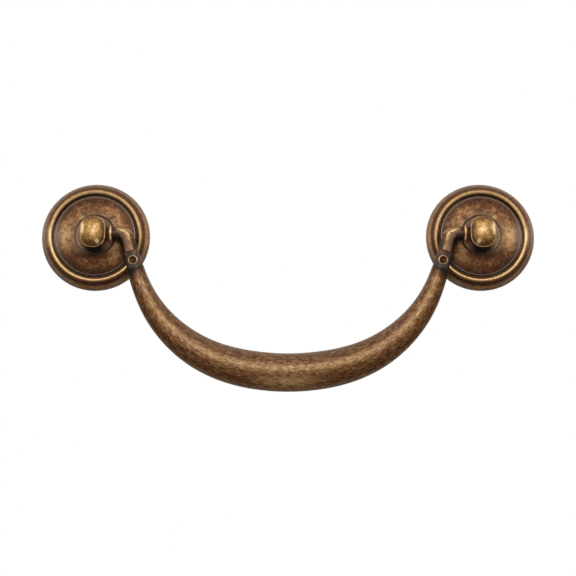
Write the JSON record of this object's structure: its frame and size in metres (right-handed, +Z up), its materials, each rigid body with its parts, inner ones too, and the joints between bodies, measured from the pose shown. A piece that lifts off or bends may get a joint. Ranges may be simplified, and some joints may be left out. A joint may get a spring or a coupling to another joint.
{
  "type": "bail pull",
  "caption": "Drawer bail pull: a tapered crescent bail on bent elbows that swings between two waisted posts, each on a round beaded backplate, in aged brass.",
  "frame": {"origin": "on the drawer's face, midway between the two mounting screws", "axes": "+X along the line of the two screws, +Z up, and the pull stands out from the drawer's face towards -Y"},
  "size_m": [0.164, 0.014, 0.0704],
  "materials": {
    "aged_brass_plate": "aged brass, satin, reddish brown on the field with brighter edges and dark grooves",
    "aged_brass_post": "aged brass, rubbed bright on the crowned head and the socket's rim",
    "aged_brass_grip": "aged brass, satin, with fine streaks along the bail",
    "brass_rivet": "rubbed brass, darker inside the hollow end"
  },
  "bodies": {
    "base": {"left_backplate": "aged_brass_plate", "right_backplate": "aged_brass_plate", "left_post": "aged_brass_post", "right_post": "aged_brass_post"},
    "swinging_bail": {"bail": "aged_brass_grip", "left_elbow": "aged_brass_grip", "right_elbow": "aged_brass_grip", "left_rivet": "brass_rivet", "right_rivet": "brass_rivet"}
  },
  "joints": [
    {"name": "bail_swing", "type": "hinge", "parent": "base", "child": "swinging_bail", "pos_m": [0, -0.007, 0], "axis": [-1, 0, 0], "range_deg": [0, 180]}
  ]
}
